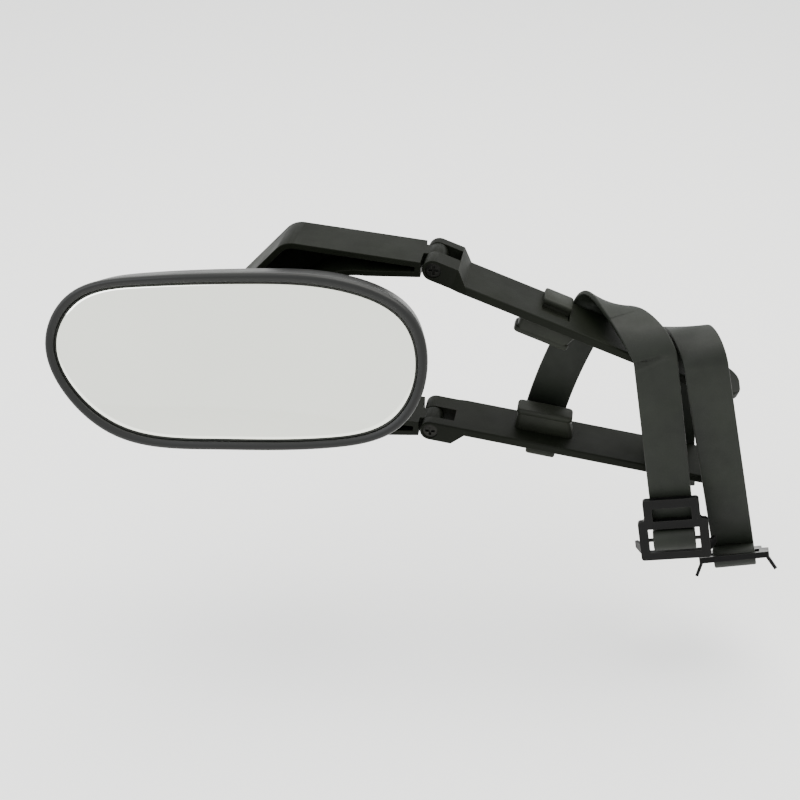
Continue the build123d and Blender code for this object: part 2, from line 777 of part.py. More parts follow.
        # flared ears that catch the edge of the car's own mirror
        for hand in (1, -1):
            flare = radians(hook_ear_flare)
            reach = width_axis * (hand * sin(flare)) - hook_front * cos(flare)
            root = hook_plane.from_local_coords(
                Vector(hand * (hook_width / 2 - hook_ear_thickness), hook_bottom + hook_ear_rise, 0)
            )
            with BuildSketch(Plane(origin=root, x_dir=reach, z_dir=reach.cross(hook_plane.y_dir))):
                with BuildLine():
                    Polyline(
                        (0, 0),
                        (hook_ear_length, hook_ear_taper),
                        (hook_ear_length, hook_ear_height - hook_ear_taper),
                        (0, hook_ear_height),
                        close=True,
                    )
                make_face()
            extrude(amount=hook_ear_thickness / 2, both=True)
        with BuildSketch(eye_plane):
            Circle(hook_pin_radius)
        extrude(amount=hook_width, both=True, mode=Mode.SUBTRACT)
    save(hook.part, f"hook_{number}")

    with BuildPart() as hook_pin:
        with BuildSketch(eye_plane):
            Circle(hook_pin_radius)
        extrude(amount=hook_width / 2 - hook_pin_inset, both=True)
    save(hook_pin.part, f"hook_{number}_pin")
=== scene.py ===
import json
from math import cos, pi, radians, sin

import bmesh
import bpy
import numpy as np
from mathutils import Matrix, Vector


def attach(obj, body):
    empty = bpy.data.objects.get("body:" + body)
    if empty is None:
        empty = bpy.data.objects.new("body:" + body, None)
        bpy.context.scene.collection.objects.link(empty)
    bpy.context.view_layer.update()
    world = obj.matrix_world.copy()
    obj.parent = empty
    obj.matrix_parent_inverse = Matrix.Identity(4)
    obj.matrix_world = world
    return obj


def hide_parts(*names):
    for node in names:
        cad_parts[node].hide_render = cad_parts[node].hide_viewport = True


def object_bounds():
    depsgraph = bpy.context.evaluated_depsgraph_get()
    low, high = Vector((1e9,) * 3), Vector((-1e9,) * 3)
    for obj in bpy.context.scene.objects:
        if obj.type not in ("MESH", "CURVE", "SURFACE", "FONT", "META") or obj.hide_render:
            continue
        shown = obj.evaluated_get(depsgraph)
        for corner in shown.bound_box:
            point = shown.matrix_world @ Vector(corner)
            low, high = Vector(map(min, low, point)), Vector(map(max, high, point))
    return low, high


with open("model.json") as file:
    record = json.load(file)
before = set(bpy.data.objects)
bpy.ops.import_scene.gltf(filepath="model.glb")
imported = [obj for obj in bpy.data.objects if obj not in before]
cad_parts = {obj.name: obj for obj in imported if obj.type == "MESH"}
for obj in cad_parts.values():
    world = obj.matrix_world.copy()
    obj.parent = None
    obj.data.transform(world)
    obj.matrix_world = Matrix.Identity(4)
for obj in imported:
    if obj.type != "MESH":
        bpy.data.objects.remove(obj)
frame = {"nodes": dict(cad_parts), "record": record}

nodes = frame["nodes"]
joints = {joint["name"]: joint for joint in frame["record"]["behaviour"]["joints"]}
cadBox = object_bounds()
mm = 0.001


# small helpers
def hexColour(code):
    linear = []
    for start in (1, 3, 5):
        share = int(code[start:start + 2], 16) / 255
        linear.append(share / 12.92 if share <= 0.04045 else ((share + 0.055) / 1.055) ** 2.4)
    return (*linear, 1.0)


def addNode(tree, kind, settings=None, sockets=None, links=None):
    # one node, with its settings, its socket values and what feeds it
    node = tree.nodes.new(kind)
    for name, value in (settings or {}).items():
        setattr(node, name, value)
    for name, value in (sockets or {}).items():
        node.inputs[name].default_value = value
    for name, source in (links or {}).items():
        tree.links.new(source, node.inputs[name])
    return node


noiseSpread = (0.3, 0.7)  # most of a noise's values lie between these
edgeTurn = (0.99, 0.8)  # how far a rounded normal leans from the flat one where wear starts and is full


def newMaterial(name, look):
    # colour drifts between two tones, grain goes to bump, and edges are rubbed lighter
    material = bpy.data.materials.new(name)
    material.use_nodes = True
    tree = material.node_tree
    tree.nodes.clear()
    place = addNode(tree, "ShaderNodeTexCoord").outputs["Object"]
    drift = addNode(tree, "ShaderNodeTexNoise", links={"Vector": place},
                    sockets={"Scale": 1 / (look["driftSize"] * mm), "Detail": 3.0, "Roughness": 0.55})
    tone = addNode(tree, "ShaderNodeValToRGB", links={"Fac": drift.outputs["Fac"]})
    for stop, share, key in zip(tone.color_ramp.elements, noiseSpread, ("darkTone", "lightTone")):
        stop.position = share
        stop.color = hexColour(look[key])
    grain = addNode(tree, "ShaderNodeTexNoise", links={"Vector": place},
                    sockets={"Scale": 1 / (look["grainSize"] * mm), "Detail": 2.0})
    height = grain.outputs["Fac"]
    if "lineSize" in look:  # fine lines left by a die, a brush or a lathe
        lines = addNode(tree, "ShaderNodeTexWave", links={"Vector": place},
                        settings={"wave_type": "BANDS", "bands_direction": look["lineAxis"]},
                        sockets={"Scale": 1 / (look["lineSize"] * mm), "Distortion": 1.5, "Detail": 2.0})
        height = addNode(tree, "ShaderNodeMath", {"operation": "MULTIPLY_ADD"}, {1: look["lineShare"]},
                         {0: lines.outputs["Fac"], 2: height}).outputs[0]
    smudge = addNode(tree, "ShaderNodeTexNoise", links={"Vector": place},
                     sockets={"Scale": 1 / (look["smudgeSize"] * mm), "Detail": 4.0, "Roughness": 0.6})
    rough = addNode(tree, "ShaderNodeMapRange", links={"Value": smudge.outputs["Fac"]},
                    sockets={1: noiseSpread[0], 2: noiseSpread[1], 3: look["roughLow"], 4: look["roughHigh"]})
    bump = addNode(tree, "ShaderNodeBump", links={"Height": height},
                   sockets={"Strength": look["bumpStrength"], "Distance": look["grainDepth"] * mm})
    shader = addNode(tree, "ShaderNodeBsdfPrincipled",
                     sockets={"Metallic": look.get("metallic", 0.0), "IOR": 1.5},
                     links={"Roughness": rough.outputs[0], "Normal": bump.outputs[0]})
    colour = tone.outputs["Color"]
    if look.get("edgeWear"):
        rounded = addNode(tree, "ShaderNodeBevel", {"samples": 4}, {"Radius": look["edgeSize"] * mm})
        flat = addNode(tree, "ShaderNodeNewGeometry").outputs["Normal"]
        facing = addNode(tree, "ShaderNodeVectorMath", {"operation": "DOT_PRODUCT"},
                         links={0: rounded.outputs[0], 1: flat})
        edge = addNode(tree, "ShaderNodeMapRange", links={"Value": facing.outputs["Value"]},
                       sockets={1: edgeTurn[0], 2: edgeTurn[1], 3: 0.0, 4: look["edgeWear"]})
        broken = addNode(tree, "ShaderNodeMath", {"operation": "MULTIPLY"},
                         links={0: edge.outputs[0], 1: smudge.outputs["Fac"]})
        worn = addNode(tree, "ShaderNodeMix", {"data_type": "RGBA"}, {7: hexColour(look["wornTone"])},
                       {0: broken.outputs[0], 6: colour})
        colour = worn.outputs[2]
    tree.links.new(colour, shader.inputs["Base Color"])
    for name, value in look.get("extra", {}).items():
        shader.inputs[name].default_value = value
    addNode(tree, "ShaderNodeOutputMaterial", links={"Surface": shader.outputs[0]})
    return material


# materials, each from what the real one is, with sizes in millimetres
# every grain is drawn a few times coarser than the real one, so that it shows
looks = {
    # glass-filled nylon, injection moulded in a spark-eroded tool: near black, dry, with a fine even grain
    "mouldedNylon": {
        "darkTone": "#0b0d08", "lightTone": "#10130c", "wornTone": "#35362f",
        "driftSize": 35.0, "grainSize": 0.7, "grainDepth": 0.09, "bumpStrength": 0.5, "smudgeSize": 20.0,
        "roughLow": 0.45, "roughHigh": 0.58, "edgeWear": 0.5, "edgeSize": 0.6,
        "extra": {"Specular IOR Level": 0.07},
    },
    # ABS, moulded smooth: the mirror's shell and rim, with a softer and more even sheen
    "mouldedAbs": {
        "darkTone": "#090a09", "lightTone": "#0d0e0c", "wornTone": "#2c2d29",
        "driftSize": 60.0, "grainSize": 0.5, "grainDepth": 0.05, "bumpStrength": 0.4, "smudgeSize": 40.0,
        "roughLow": 0.36, "roughHigh": 0.46, "edgeWear": 0.35, "edgeSize": 0.7,
        "extra": {"Specular IOR Level": 0.3},
    },
    # thermoplastic rubber, moulded: matt and a little softer to the eye; its tones are painted lighter than
    # the arms' nylon, which has the same colour, as painted light that lifts the claws out of the shade they
    # sit in
    "gripRubberPaintedLighter": {
        "darkTone": "#12140e", "lightTone": "#181b13", "wornTone": "#383930",
        "driftSize": 20.0, "grainSize": 0.6, "grainDepth": 0.08, "bumpStrength": 0.5, "smudgeSize": 12.0,
        "roughLow": 0.5, "roughHigh": 0.65, "edgeWear": 0.3, "edgeSize": 0.8,
        "extra": {"Specular IOR Level": 0.18},
    },
    # EPDM strap, extruded and cut: long faint lines, dry bloom and a dull sheen
    "extrudedStrapRubber": {
        "darkTone": "#0c0f0a", "lightTone": "#151912", "wornTone": "#34352e",
        "driftSize": 25.0, "grainSize": 0.8, "grainDepth": 0.1, "bumpStrength": 0.5, "smudgeSize": 16.0,
        "lineSize": 2.2, "lineAxis": "X", "lineShare": 0.25,
        "roughLow": 0.48, "roughHigh": 0.62, "edgeWear": 0.3, "edgeSize": 0.6,
        "extra": {"Specular IOR Level": 0.22},
    },
    # steel plate, stamped and e-coated: deep black with a low sheen, bare where its edges rub
    "eCoatedSteel": {
        "darkTone": "#030303", "lightTone": "#060606", "wornTone": "#5a5955",
        "driftSize": 12.0, "grainSize": 0.5, "grainDepth": 0.04, "bumpStrength": 0.4, "smudgeSize": 8.0,
        "roughLow": 0.32, "roughHigh": 0.46, "edgeWear": 0.6, "edgeSize": 0.3,
        "extra": {"Specular IOR Level": 0.12},
    },
    # hinge screws, barrels, studs and hook pins, turned and black-oxided: dark grey metal with fine lines
    "blackOxideSteel": {
        "darkTone": "#1b1b1a", "lightTone": "#2a2a28", "wornTone": "#6f6d66",
        "driftSize": 4.0, "grainSize": 0.4, "grainDepth": 0.03, "bumpStrength": 0.4, "smudgeSize": 3.0,
        "lineSize": 0.8, "lineAxis": "Y", "lineShare": 0.3,
        "roughLow": 0.34, "roughHigh": 0.5, "edgeWear": 0.6, "edgeSize": 0.2, "metallic": 1.0,
    },
    # ball stud, nut and socket screws, turned and zinc plated: pale grey metal, softly brushed
    "zincPlatedSteel": {
        "darkTone": "#6d6c68", "lightTone": "#8d8b85", "wornTone": "#b5b3ab",
        "driftSize": 4.0, "grainSize": 0.4, "grainDepth": 0.03, "bumpStrength": 0.4, "smudgeSize": 3.0,
        "lineSize": 0.8, "lineAxis": "Y", "lineShare": 0.3,
        "roughLow": 0.32, "roughHigh": 0.5, "edgeWear": 0.5, "edgeSize": 0.2, "metallic": 1.0,
    },
    # float glass, silvered, its edge ground and polished: a clear and faintly warm reflection
    "silveredGlass": {
        "darkTone": "#f8faf0", "lightTone": "#fcfef4", "wornTone": "#ffffff",
        "driftSize": 80.0, "grainSize": 20.0, "grainDepth": 0.002, "bumpStrength": 0.02, "smudgeSize": 30.0,
        "roughLow": 0.015, "roughHigh": 0.035, "metallic": 1.0,
    },
    # acetal, moulded and left its natural off-white: smooth and slightly waxy
    "naturalAcetal": {
        "darkTone": "#cfcbbf", "lightTone": "#dcd9ce", "wornTone": "#efece4",
        "driftSize": 10.0, "grainSize": 0.6, "grainDepth": 0.04, "bumpStrength": 0.3, "smudgeSize": 8.0,
        "roughLow": 0.35, "roughHigh": 0.45, "edgeWear": 0.3, "edgeSize": 0.4,
    },
    # foam tape, closed-cell and cut: dull, with small open pores on its cut edge
    "closedCellFoam": {
        "darkTone": "#202020", "lightTone": "#2c2c2b", "wornTone": "#3a3a39",
        "driftSize": 10.0, "grainSize": 1.0, "grainDepth": 0.2, "bumpStrength": 0.8, "smudgeSize": 6.0,
        "roughLow": 0.8, "roughHigh": 0.95,
    },
}
materials = {name: newMaterial(name, look) for name, look in looks.items()}
print("materials", len(materials))

# CAD parts that keep their shape: a finish and small rounded edges, in millimetres
finishes = [
    {"material": "mouldedNylon", "edge": 0.7, "nodes": ("upper_arm", "lower_arm")},
    {"material": "mouldedNylon", "edge": 1.5, "nodes": ("bracket",)},
    {"material": "mouldedAbs", "edge": 0.4, "nodes": ("glass_carrier", "socket_cup", "socket_ring")},
    {"material": "eCoatedSteel", "edge": 0.35, "nodes": ("hook_1", "hook_2")},
    {"material": "blackOxideSteel", "edge": 0.25, "nodes": (
        "upper_hinge_screw", "upper_hinge_barrel", "lower_hinge_screw", "lower_hinge_barrel",
        "strap_1_stud", "strap_2_stud", "hook_1_pin", "hook_2_pin")},
    {"material": "zincPlatedSteel", "edge": 0.25, "nodes": ("socket_screws", "ball_stud", "ball_stud_nut")},
    {"material": "naturalAcetal", "edge": 0.2, "nodes": ("socket_liner",)},
    {"material": "closedCellFoam", "edge": 0.2, "nodes": ("adhesive_pad",)},
]
cadEdges = {"weld": 0.01, "flatBelow": 0.5, "roundAbove": 35, "segments": 3}  # millimetres and degrees


def finishPart(part, material, edge):
    part.data.materials.clear()
    part.data.materials.append(material)
    weld = part.modifiers.new("weld", "WELD")
    weld.merge_threshold = cadEdges["weld"] * mm
    flats = part.modifiers.new("flats", "DECIMATE")
    flats.decimate_type = "DISSOLVE"
    flats.angle_limit = radians(cadEdges["flatBelow"])
    rounding = part.modifiers.new("rounding", "BEVEL")
    rounding.width = edge * mm
    rounding.segments = cadEdges["segments"]
    rounding.limit_method = "ANGLE"
    rounding.angle_limit = radians(cadEdges["roundAbove"])
    rounding.harden_normals = True


for group in finishes:
    for name in group["nodes"]:
        finishPart(nodes[name], materials[group["material"]], group["edge"])
print("parts finished")


def newSolid(name, vertices, faces, material):
    mesh = bpy.data.meshes.new(name)
    mesh.from_pydata([tuple(v) for v in vertices], [], faces)
    shape = bmesh.new()
    shape.from_mesh(mesh)
    bmesh.ops.remove_doubles(shape, verts=shape.verts, dist=0.002 * mm)
    bmesh.ops.recalc_face_normals(shape, faces=shape.faces)
    shape.to_mesh(mesh)
    shape.free()
    mesh.materials.append(material)
    mesh.shade_smooth()
    solid = bpy.data.objects.new(name, mesh)
    bpy.context.scene.collection.objects.link(solid)
    return solid


def joinFrame(piece, body, stands):
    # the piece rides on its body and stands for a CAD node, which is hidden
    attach(piece, body)
    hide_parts(*stands)


# mirror head, in millimetres and degrees
head = {
    "halfWidth": 95.8, "halfHeight": 43.0,  # of the glass
    "leanBack": 16.0, "steps": 160,
    "glassFace": 30.0, "glassThickness": 2.2, "glassBevel": 2.2, "glassDome": 0.5, "glassDrop": 0.35,
    "domeRings": 20, "lastDomeRing": 0.975,
    "rimWidth": 4.6, "rimRise": 0.9, "rimDepth": 4.9,
    "shoulder": 11.0, "sideDraft": 0.022, "topDraft": 0.008, "sideRings": (0.0, 0.12, 0.35, 0.65),
    "backWidthShare": 0.62, "backHeightShare": 0.72, "backRound": 1.6, "roundSteps": 22,
    "wall": 2.5, "socketHole": 20.1, "holeRings": (0.5, 0.9, 1.0),
}
# each point: how far it stands out from the glass's outline, and its height over the ball's centre
rimProfile = [
    (4.6, 26.0), (4.75, 27.5), (4.6, 29.2), (4.1, 30.3), (3.3, 30.85), (2.5, 30.9), (1.8, 30.75),
    (0.35, 30.1), (0.12, 29.9), (0.1, 24.3), (-3.0, 24.2), (-3.0, 21.2), (1.7, 21.2), (1.85, 26.0),
]
# likewise for the glass's bevel and edge, with the height from the glass's face
glassEdge = [(-head["glassBevel"], -0.33), (-0.35, -1.25), (-0.3, -head["glassThickness"])]
ballCentre = np.array(joints["mirror_tilt"]["pos_m"]) / mm
glassNormal = np.array((0, -cos(radians(head["leanBack"])), sin(radians(head["leanBack"]))))
glassUp = np.array((0, sin(radians(head["leanBack"])), cos(radians(head["leanBack"]))))
outlineShares = ((-1.0, 0.05), (-0.88, 0.6), (-0.53, 0.86), (0.1, 1.0), (0.63, 0.97), (0.92, 0.66),
                 (1.0, 0.05), (0.88, -0.56), (0.53, -0.86), (-0.1, -1.0), (-0.64, -0.93), (-0.9, -0.5))


def closedSpline(points, steps):
    # smooth closed curve through a few points, spaced by the distance between them
    points = np.array(points, float)
    count = len(points)
    gaps = np.linalg.norm(np.roll(points, -1, 0) - points, axis=1)
    matrix = np.zeros((count, count))
    right = np.zeros((count, 2))
    for i in range(count):
        before, after = gaps[i - 1], gaps[i]
        matrix[i, i - 1] += before
        matrix[i, i] += 2 * (before + after)
        matrix[i, (i + 1) % count] += after
        right[i] = 6 * ((points[(i + 1) % count] - points[i]) / after - (points[i] - points[i - 1]) / before)
    curl = np.linalg.solve(matrix, right)
    total = gaps.sum()
    ends = np.cumsum(gaps)
    line = []
    for step in range(steps):
        at = total * step / steps
        i = int(np.searchsorted(ends, at, side="right"))
        gap = gaps[i]
        u = at - (ends[i] - gap)
        a, b = curl[i], curl[(i + 1) % count]
        p, q = points[i], points[(i + 1) % count]
        line.append(a * (gap - u) ** 3 / (6 * gap) + b * u ** 3 / (6 * gap)
                    + (p / gap - a * gap / 6) * (gap - u) + (q / gap - b * gap / 6) * u)
    return np.array(line)


def headOutline(grow, widthShare=1.0, heightShare=1.0):
    width = (head["halfWidth"] + grow) * widthShare
    height = (head["halfHeight"] + grow) * heightShare
    return closedSpline([(x * width, y * height) for x, y in outlineShares], head["steps"])


def headPoint(x, y, depth):
    return (ballCentre + np.array((1, 0, 0)) * x + glassUp * y + glassNormal * depth) * mm


def ringsToFaces(ringCount, steps, closed):
    faces = []
    for ring in range(ringCount if closed else ringCount - 1):
        upper = (ring + 1) % ringCount
        for i in range(steps):
            j = (i + 1) % steps
            faces.append((ring * steps + i, ring * steps + j, upper * steps + j, upper * steps + i))
    return faces


def headRings(rings):
    return [headPoint(x, y, depth) for line, depth in rings for x, y in line]


rimFront = head["glassFace"] + head["rimRise"]
rimBack = rimFront - head["rimDepth"]

# shell: straight sides, then a full round into a flat back with the socket's hole
roundDepth = rimBack - head["shoulder"]
shellRings = []
for share in head["sideRings"]:
    line = headOutline(head["rimWidth"], 1 - head["sideDraft"] * share, 1 - head["topDraft"] * share)
    shellRings.append((line, rimBack - head["shoulder"] * share))
for step in range(head["roundSteps"] + 1):
    turn = step / head["roundSteps"] * pi / 2
    left = cos(turn) ** head["backRound"]  # how much of the round is still to come
    widthShare = head["backWidthShare"] + (1 - head["sideDraft"] - head["backWidthShare"]) * left
    heightShare = head["backHeightShare"] + (1 - head["topDraft"] - head["backHeightShare"]) * left
    shellRings.append((headOutline(head["rimWidth"], widthShare, heightShare), roundDepth * (1 - sin(turn))))
backLine = shellRings[-1][0]
angles = np.arctan2(backLine[:, 1], backLine[:, 0])
holeLine = np.stack([np.cos(angles), np.sin(angles)], 1) * head["socketHole"]
for share in head["holeRings"]:
    shellRings.append((backLine + (holeLine - backLine) * share, 0.0))
shell = newSolid("mirrorShell", headRings(shellRings), ringsToFaces(len(shellRings), head["steps"], False),
                 materials["mouldedAbs"])
joinFrame(shell, "mirror_head", ["mirror_housing"])
wall = shell.modifiers.new("wall", "SOLIDIFY")
wall.thickness = head["wall"] * mm
wall.offset = -1

# rim: one moulding swept round the glass, rounded outside, with a bevel down to the glass
rim = newSolid("mirrorRim", headRings([(headOutline(grow), depth) for grow, depth in rimProfile]),
               ringsToFaces(len(rimProfile), head["steps"], True), materials["mouldedAbs"])
joinFrame(rim, "mirror_head", ["mirror_bezel"])

# glass: a shallow dome with a ground bevel round its edge
glassTop = head["glassFace"] - head["glassDrop"]
domeShares = [ring / head["domeRings"] for ring in range(1, head["domeRings"])] + [head["lastDomeRing"]]
glassRings = [(headOutline(-head["glassBevel"]) * share, glassTop + head["glassDome"] * (1 - share ** 2))
              for share in domeShares]
glassRings += [(headOutline(grow), head["glassFace"] + rise) for grow, rise in glassEdge]
glassPoints = headRings(glassRings) + [headPoint(0, 0, glassTop + head["glassDome"]),
                                       headPoint(0, 0, head["glassFace"] - head["glassThickness"])]
steps = head["steps"]
glassFaces = ringsToFaces(len(glassRings), steps, False)
centre = len(glassRings) * steps
backCentre, lastRing = centre + 1, centre - steps
for i in range(steps):
    j = (i + 1) % steps
    glassFaces.append((centre, j, i))
    glassFaces.append((backCentre, lastRing + i, lastRing + j))
glass = newSolid("mirrorGlass", glassPoints, glassFaces, materials["silveredGlass"])
joinFrame(glass, "mirror_head", ["mirror_glass"])
print("mirror head made")

# claws: a grip pad on a flared foot, and the latch that holds it in the arm's window (millimetres, degrees)
claw = {
    "start": 46.0, "length": 29.0, "near": -6.8, "width": 11.0, "corner": 2.6,
    "padDrop": 13.0, "padHeight": 3.5, "padOverhang": 1.0, "padProud": (0.12, 0.3), "padSoftness": 0.9,
    "footFlare": (0.4, 3.4), "footSoftness": 0.3,
    "sunk": 0.8,  # how far a block runs into the one below it
    "windowStart": 54.1, "windowLength": 15.8, "windowNear": -7.4, "windowFar": 3.9,
    "stemTop": -3.2, "stemCorner": 0.5, "stemSoftness": 0.2,
    "tongueWall": 2.6, "tongueSunk": 0.5, "tongueTop": 1.2,
    "latchFar": 14.4, "latchHeight": 3.4, "latchReach": 3.4, "latchGap": 0.05, "latchOverlap": 0.2,
    "latchCorner": 1.6, "latchSoftness": 0.8,
}
claws = {"upper": {"side": 1, "droop": 20.0, "shift": 7.0}, "lower": {"side": -1, "droop": 7.5, "shift": 0.0}}
armFaces = {"inner": -5.8, "outer": -1.0, "hinge": 49.0}  # faces are counted outward from the hinge's axis


def roundedBlock(low, high, corner, edge, slopes=(0.0, 0.0)):
    # closed block with rounded corners in plan and softened top and bottom, its ends drawn in by the slopes
    levels = [(low[2], edge), (low[2] + 0.3 * edge, 0.3 * edge), (low[2] + edge, 0.0),
              (high[2] - edge, 0.0), (high[2] - 0.3 * edge, 0.3 * edge), (high[2], edge)]
    points, turns = [], 6
    for height, inset in levels:
        share = (high[2] - height) / (high[2] - low[2])
        left, right = low[0] + inset + slopes[0] * share, high[0] - inset - slopes[1] * share
        near, far = low[1] + inset, high[1] - inset
        radius = max(min(corner, (right - left) / 2, (far - near) / 2) - inset, 0.1)
        for corners, (x, y) in enumerate(((right, far), (left, far), (left, near), (right, near))):
            signX, signY = ((1, 1), (-1, 1), (-1, -1), (1, -1))[corners]
            for step in range(turns):
                turn = (corners + step / (turns - 1)) * pi / 2
                points.append((x + radius * (cos(turn) - signX), y + radius * (sin(turn) - signY), height))
    count = 4 * turns
    faces = ringsToFaces(len(levels), count, False)
    faces += [tuple(range(count)), tuple(range((len(levels) - 1) * count, len(levels) * count))]
    return points, faces


def joinBlocks(blocks):
    # several closed blocks in one mesh
    points, faces = [], []
    for blockPoints, blockFaces in blocks:
        faces += [tuple(len(points) + i for i in face) for face in blockFaces]
        points += blockPoints
    return points, faces


def clawBlocks(shift):
    # pad, foot, stem in the window, tongue up through it and latch over the arm's face
    start, end = claw["start"] + shift, claw["start"] + shift + claw["length"]
    near, far = claw["near"], claw["near"] + claw["width"]
    window, windowEnd = claw["windowStart"] + shift, claw["windowStart"] + shift + claw["windowLength"]
    bottom = armFaces["inner"] - claw["padDrop"]
    padTop = bottom + claw["padHeight"]
    over, latchOver = claw["padOverhang"], claw["latchOverlap"]
    stem = (claw["stemCorner"], claw["stemSoftness"])
    return joinBlocks([
        roundedBlock((start - over, near - claw["padProud"][0], bottom),
                     (end + over, far + claw["padProud"][1], padTop), claw["corner"], claw["padSoftness"]),
        roundedBlock((start - claw["footFlare"][0], near, padTop - claw["sunk"]),
                     (end + claw["footFlare"][1], far, armFaces["inner"]),
                     claw["corner"], claw["footSoftness"], claw["footFlare"]),
        roundedBlock((window, claw["windowNear"], armFaces["inner"] - claw["sunk"]),
                     (windowEnd, claw["windowFar"], claw["stemTop"]), *stem),
        roundedBlock((window, claw["windowFar"] - claw["tongueWall"], armFaces["inner"] - claw["tongueSunk"]),
                     (windowEnd, claw["windowFar"], armFaces["outer"] + claw["tongueTop"]), *stem),
        roundedBlock((window - latchOver, claw["windowFar"] - claw["latchReach"],
                      armFaces["outer"] + claw["latchGap"]),
                     (windowEnd + latchOver, claw["latchFar"], armFaces["outer"] + claw["latchHeight"]),
                     claw["latchCorner"], claw["latchSoftness"]),
    ])


for place, arm in claws.items():
    points, faces = clawBlocks(arm["shift"])
    droop, side = radians(arm["droop"]), arm["side"]
    along = np.array((cos(droop), 0, -sin(droop)))
    across = np.array((0, side, 0))
    out = np.array((sin(droop), 0, cos(droop))) * side
    hinge = np.array((0, 0, armFaces["hinge"] * side))
    placed = [(hinge + along * x + across * y + out * z) * mm for x, y, z in points]
    # the claws take the rubber whose tones are painted lighter, to make up for the shade on them
    piece = newSolid(f"{place}Claw", placed, faces, materials["gripRubberPaintedLighter"])
    joinFrame(piece, f"{place}_jaw", [f"{place}_claw"])
print("claws made")

# straps, in millimetres and degrees, each from its tail over the upper arm and down to its eye
strap = {
    "width": 22.5, "thickness": 2.8, "edge": 0.75, "rearDepth": 17.6, "frontDepth": 21.0,
    "archSteps": 72, "runSteps": 14, "tailSoftness": ((0.0, 0.75), (0.22, 0.22), (0.75, 0.0)),  # along, inset
    "eyeRadius": 6.0, "pinHole": 1.06, "eyeSteps": 48, "eyeSoftness": 0.8, "eyeCorner": (0.25, 0.2),
}
straps = {
    1: {"rear": (84.3, 19.0), "bow": -3.6, "front": (117.6, 11.0), "rise": 8.6, "tilt": -1.0,
        "tail": (58.5, -67.0), "end": (138.0, -33.0, -91.0), "slots": 4},
    2: {"rear": (130.9, 3.0), "bow": -1.0, "front": (143.8, 8.8), "rise": 11.0, "tilt": -10.0,
        "tail": (139.4, -93.0), "end": (172.5, -21.0, -107.0), "slots": 5},
}
ladder = {"pitch": 5.4, "endMargin": 5.0, "width": 12.0, "height": 2.6, "through": 6.0}


def strapStations(run):
    # position, outward direction and direction of the run, from the tail over the arm to the eye
    rise, bow, tilt = run["rise"], run["bow"], radians(run["tilt"])
    rear = np.array((run["rear"][0], strap["rearDepth"], run["rear"][1]))
    front = np.array((run["front"][0], -strap["frontDepth"], run["front"][1]))
    tail = np.array((run["tail"][0], strap["rearDepth"], run["tail"][1]))
    end = np.array(run["end"])
    tailRun, eyeRun = rear - tail, end - front
    leanIn = (tailRun[0] - 4 * bow) / tailRun[2] * pi * rise
    leanOut = -eyeRun[0] / eyeRun[2] * pi * rise
    sideways = np.array((1.0, 0.0, 0.0))
    stations = [(tail + tailRun * share + sideways * 4 * bow * share * (1 - share), np.array((0, 1, 0)),
                 tailRun + sideways * 4 * bow * (1 - 2 * share))
                for share in np.linspace(0, 1, strap["runSteps"], endpoint=False)]
    for step in range(strap["archSteps"] + 1):
        share = step / strap["archSteps"]
        turn = pi * share
        depth = strap["rearDepth"] if turn < pi / 2 else strap["frontDepth"]
        ease = 3 * share ** 2 - 2 * share ** 3
        lean = leanIn * (share - 2 * share ** 2 + share ** 3) + leanOut * (share ** 3 - share ** 2)
        leanSlope = leanIn * (1 - 4 * share + 3 * share ** 2) + leanOut * (3 * share ** 2 - 2 * share)
        slope = 6 * (share - share ** 2)
        place = np.array((rear[0] + (front[0] - rear[0]) * ease + lean, depth * cos(turn),
                          rear[2] + (front[2] - rear[2]) * ease + rise * sin(turn)))
        along = np.array(((front[0] - rear[0]) * slope + leanSlope, -pi * depth * sin(turn),
                          (front[2] - rear[2]) * slope + pi * rise * cos(turn)))
        stations.append((place, np.array((sin(tilt) * sin(turn), cos(turn), cos(tilt) * sin(turn))), along))
    stations += [(front + eyeRun * share, np.array((0, -1, 0)), eyeRun)
                 for share in np.linspace(0, 1, strap["runSteps"] + 1)[1:]]
    return stations


def roundedSection(inset):
    # outline of the strap's section: flat faces with soft corners
    halfWidth, halfThickness = strap["width"] / 2 - inset, strap["thickness"] / 2 - inset
    radius = max(strap["edge"] - inset, 0.05)
    line = []
    for corner in range(4):
        sideX, sideY = ((1, 1), (-1, 1), (-1, -1), (1, -1))[corner]
        for step in range(5):
            turn = (corner + step / 4) * pi / 2
            line.append((sideX * (halfWidth - radius) + radius * cos(turn),
                         sideY * (halfThickness - radius) + radius * sin(turn)))
    return line


def unitVector(vector):
    return vector / np.linalg.norm(vector)


def strapMesh(run):
    stations = strapStations(run)
    points = []
    place, outward, along = stations[0]
    rings = [((place + unitVector(along) * step, outward, along), inset)
             for step, inset in strap["tailSoftness"]]
    rings += [(station, 0.0) for station in stations[1:]]
    for (place, outward, along), inset in rings:
        along = unitVector(along)
        across = unitVector(np.cross(outward, along))
        out = np.cross(along, across)
        points += [place + across * x + out * y for x, y in roundedSection(inset)]
    count = len(roundedSection(0))
    faces = ringsToFaces(len(rings), count, False)
    faces += [tuple(range(count)), tuple(range((len(rings) - 1) * count, len(rings) * count))]
    # the eye that the hook's pin runs through
    end, outward, along = stations[-1]
    along = unitVector(along)
    across = unitVector(np.cross(outward, along))
    front = unitVector(np.cross(along, across))
    middle = end + front * (strap["eyeRadius"] - strap["thickness"] / 2)
    half, outer, inner = strap["width"] / 2, strap["eyeRadius"], strap["pinHole"]
    soft, (cornerIn, cornerDown) = strap["eyeSoftness"], strap["eyeCorner"]
    profile = [(inner, -half), (inner, half), (outer - soft, half), (outer - cornerIn, half - cornerDown),
               (outer, half - soft), (outer, soft - half), (outer - cornerIn, cornerDown - half),
               (outer - soft, -half)]
    first, turns = len(points), strap["eyeSteps"]
    for radius, side in profile:
        points += [middle + across * side + front * radius * cos(2 * pi * i / turns)
                   + along * radius * sin(2 * pi * i / turns) for i in range(turns)]
    faces += [tuple(first + i for i in face) for face in ringsToFaces(len(profile), turns, True)]
    return [point * mm for point in points], faces


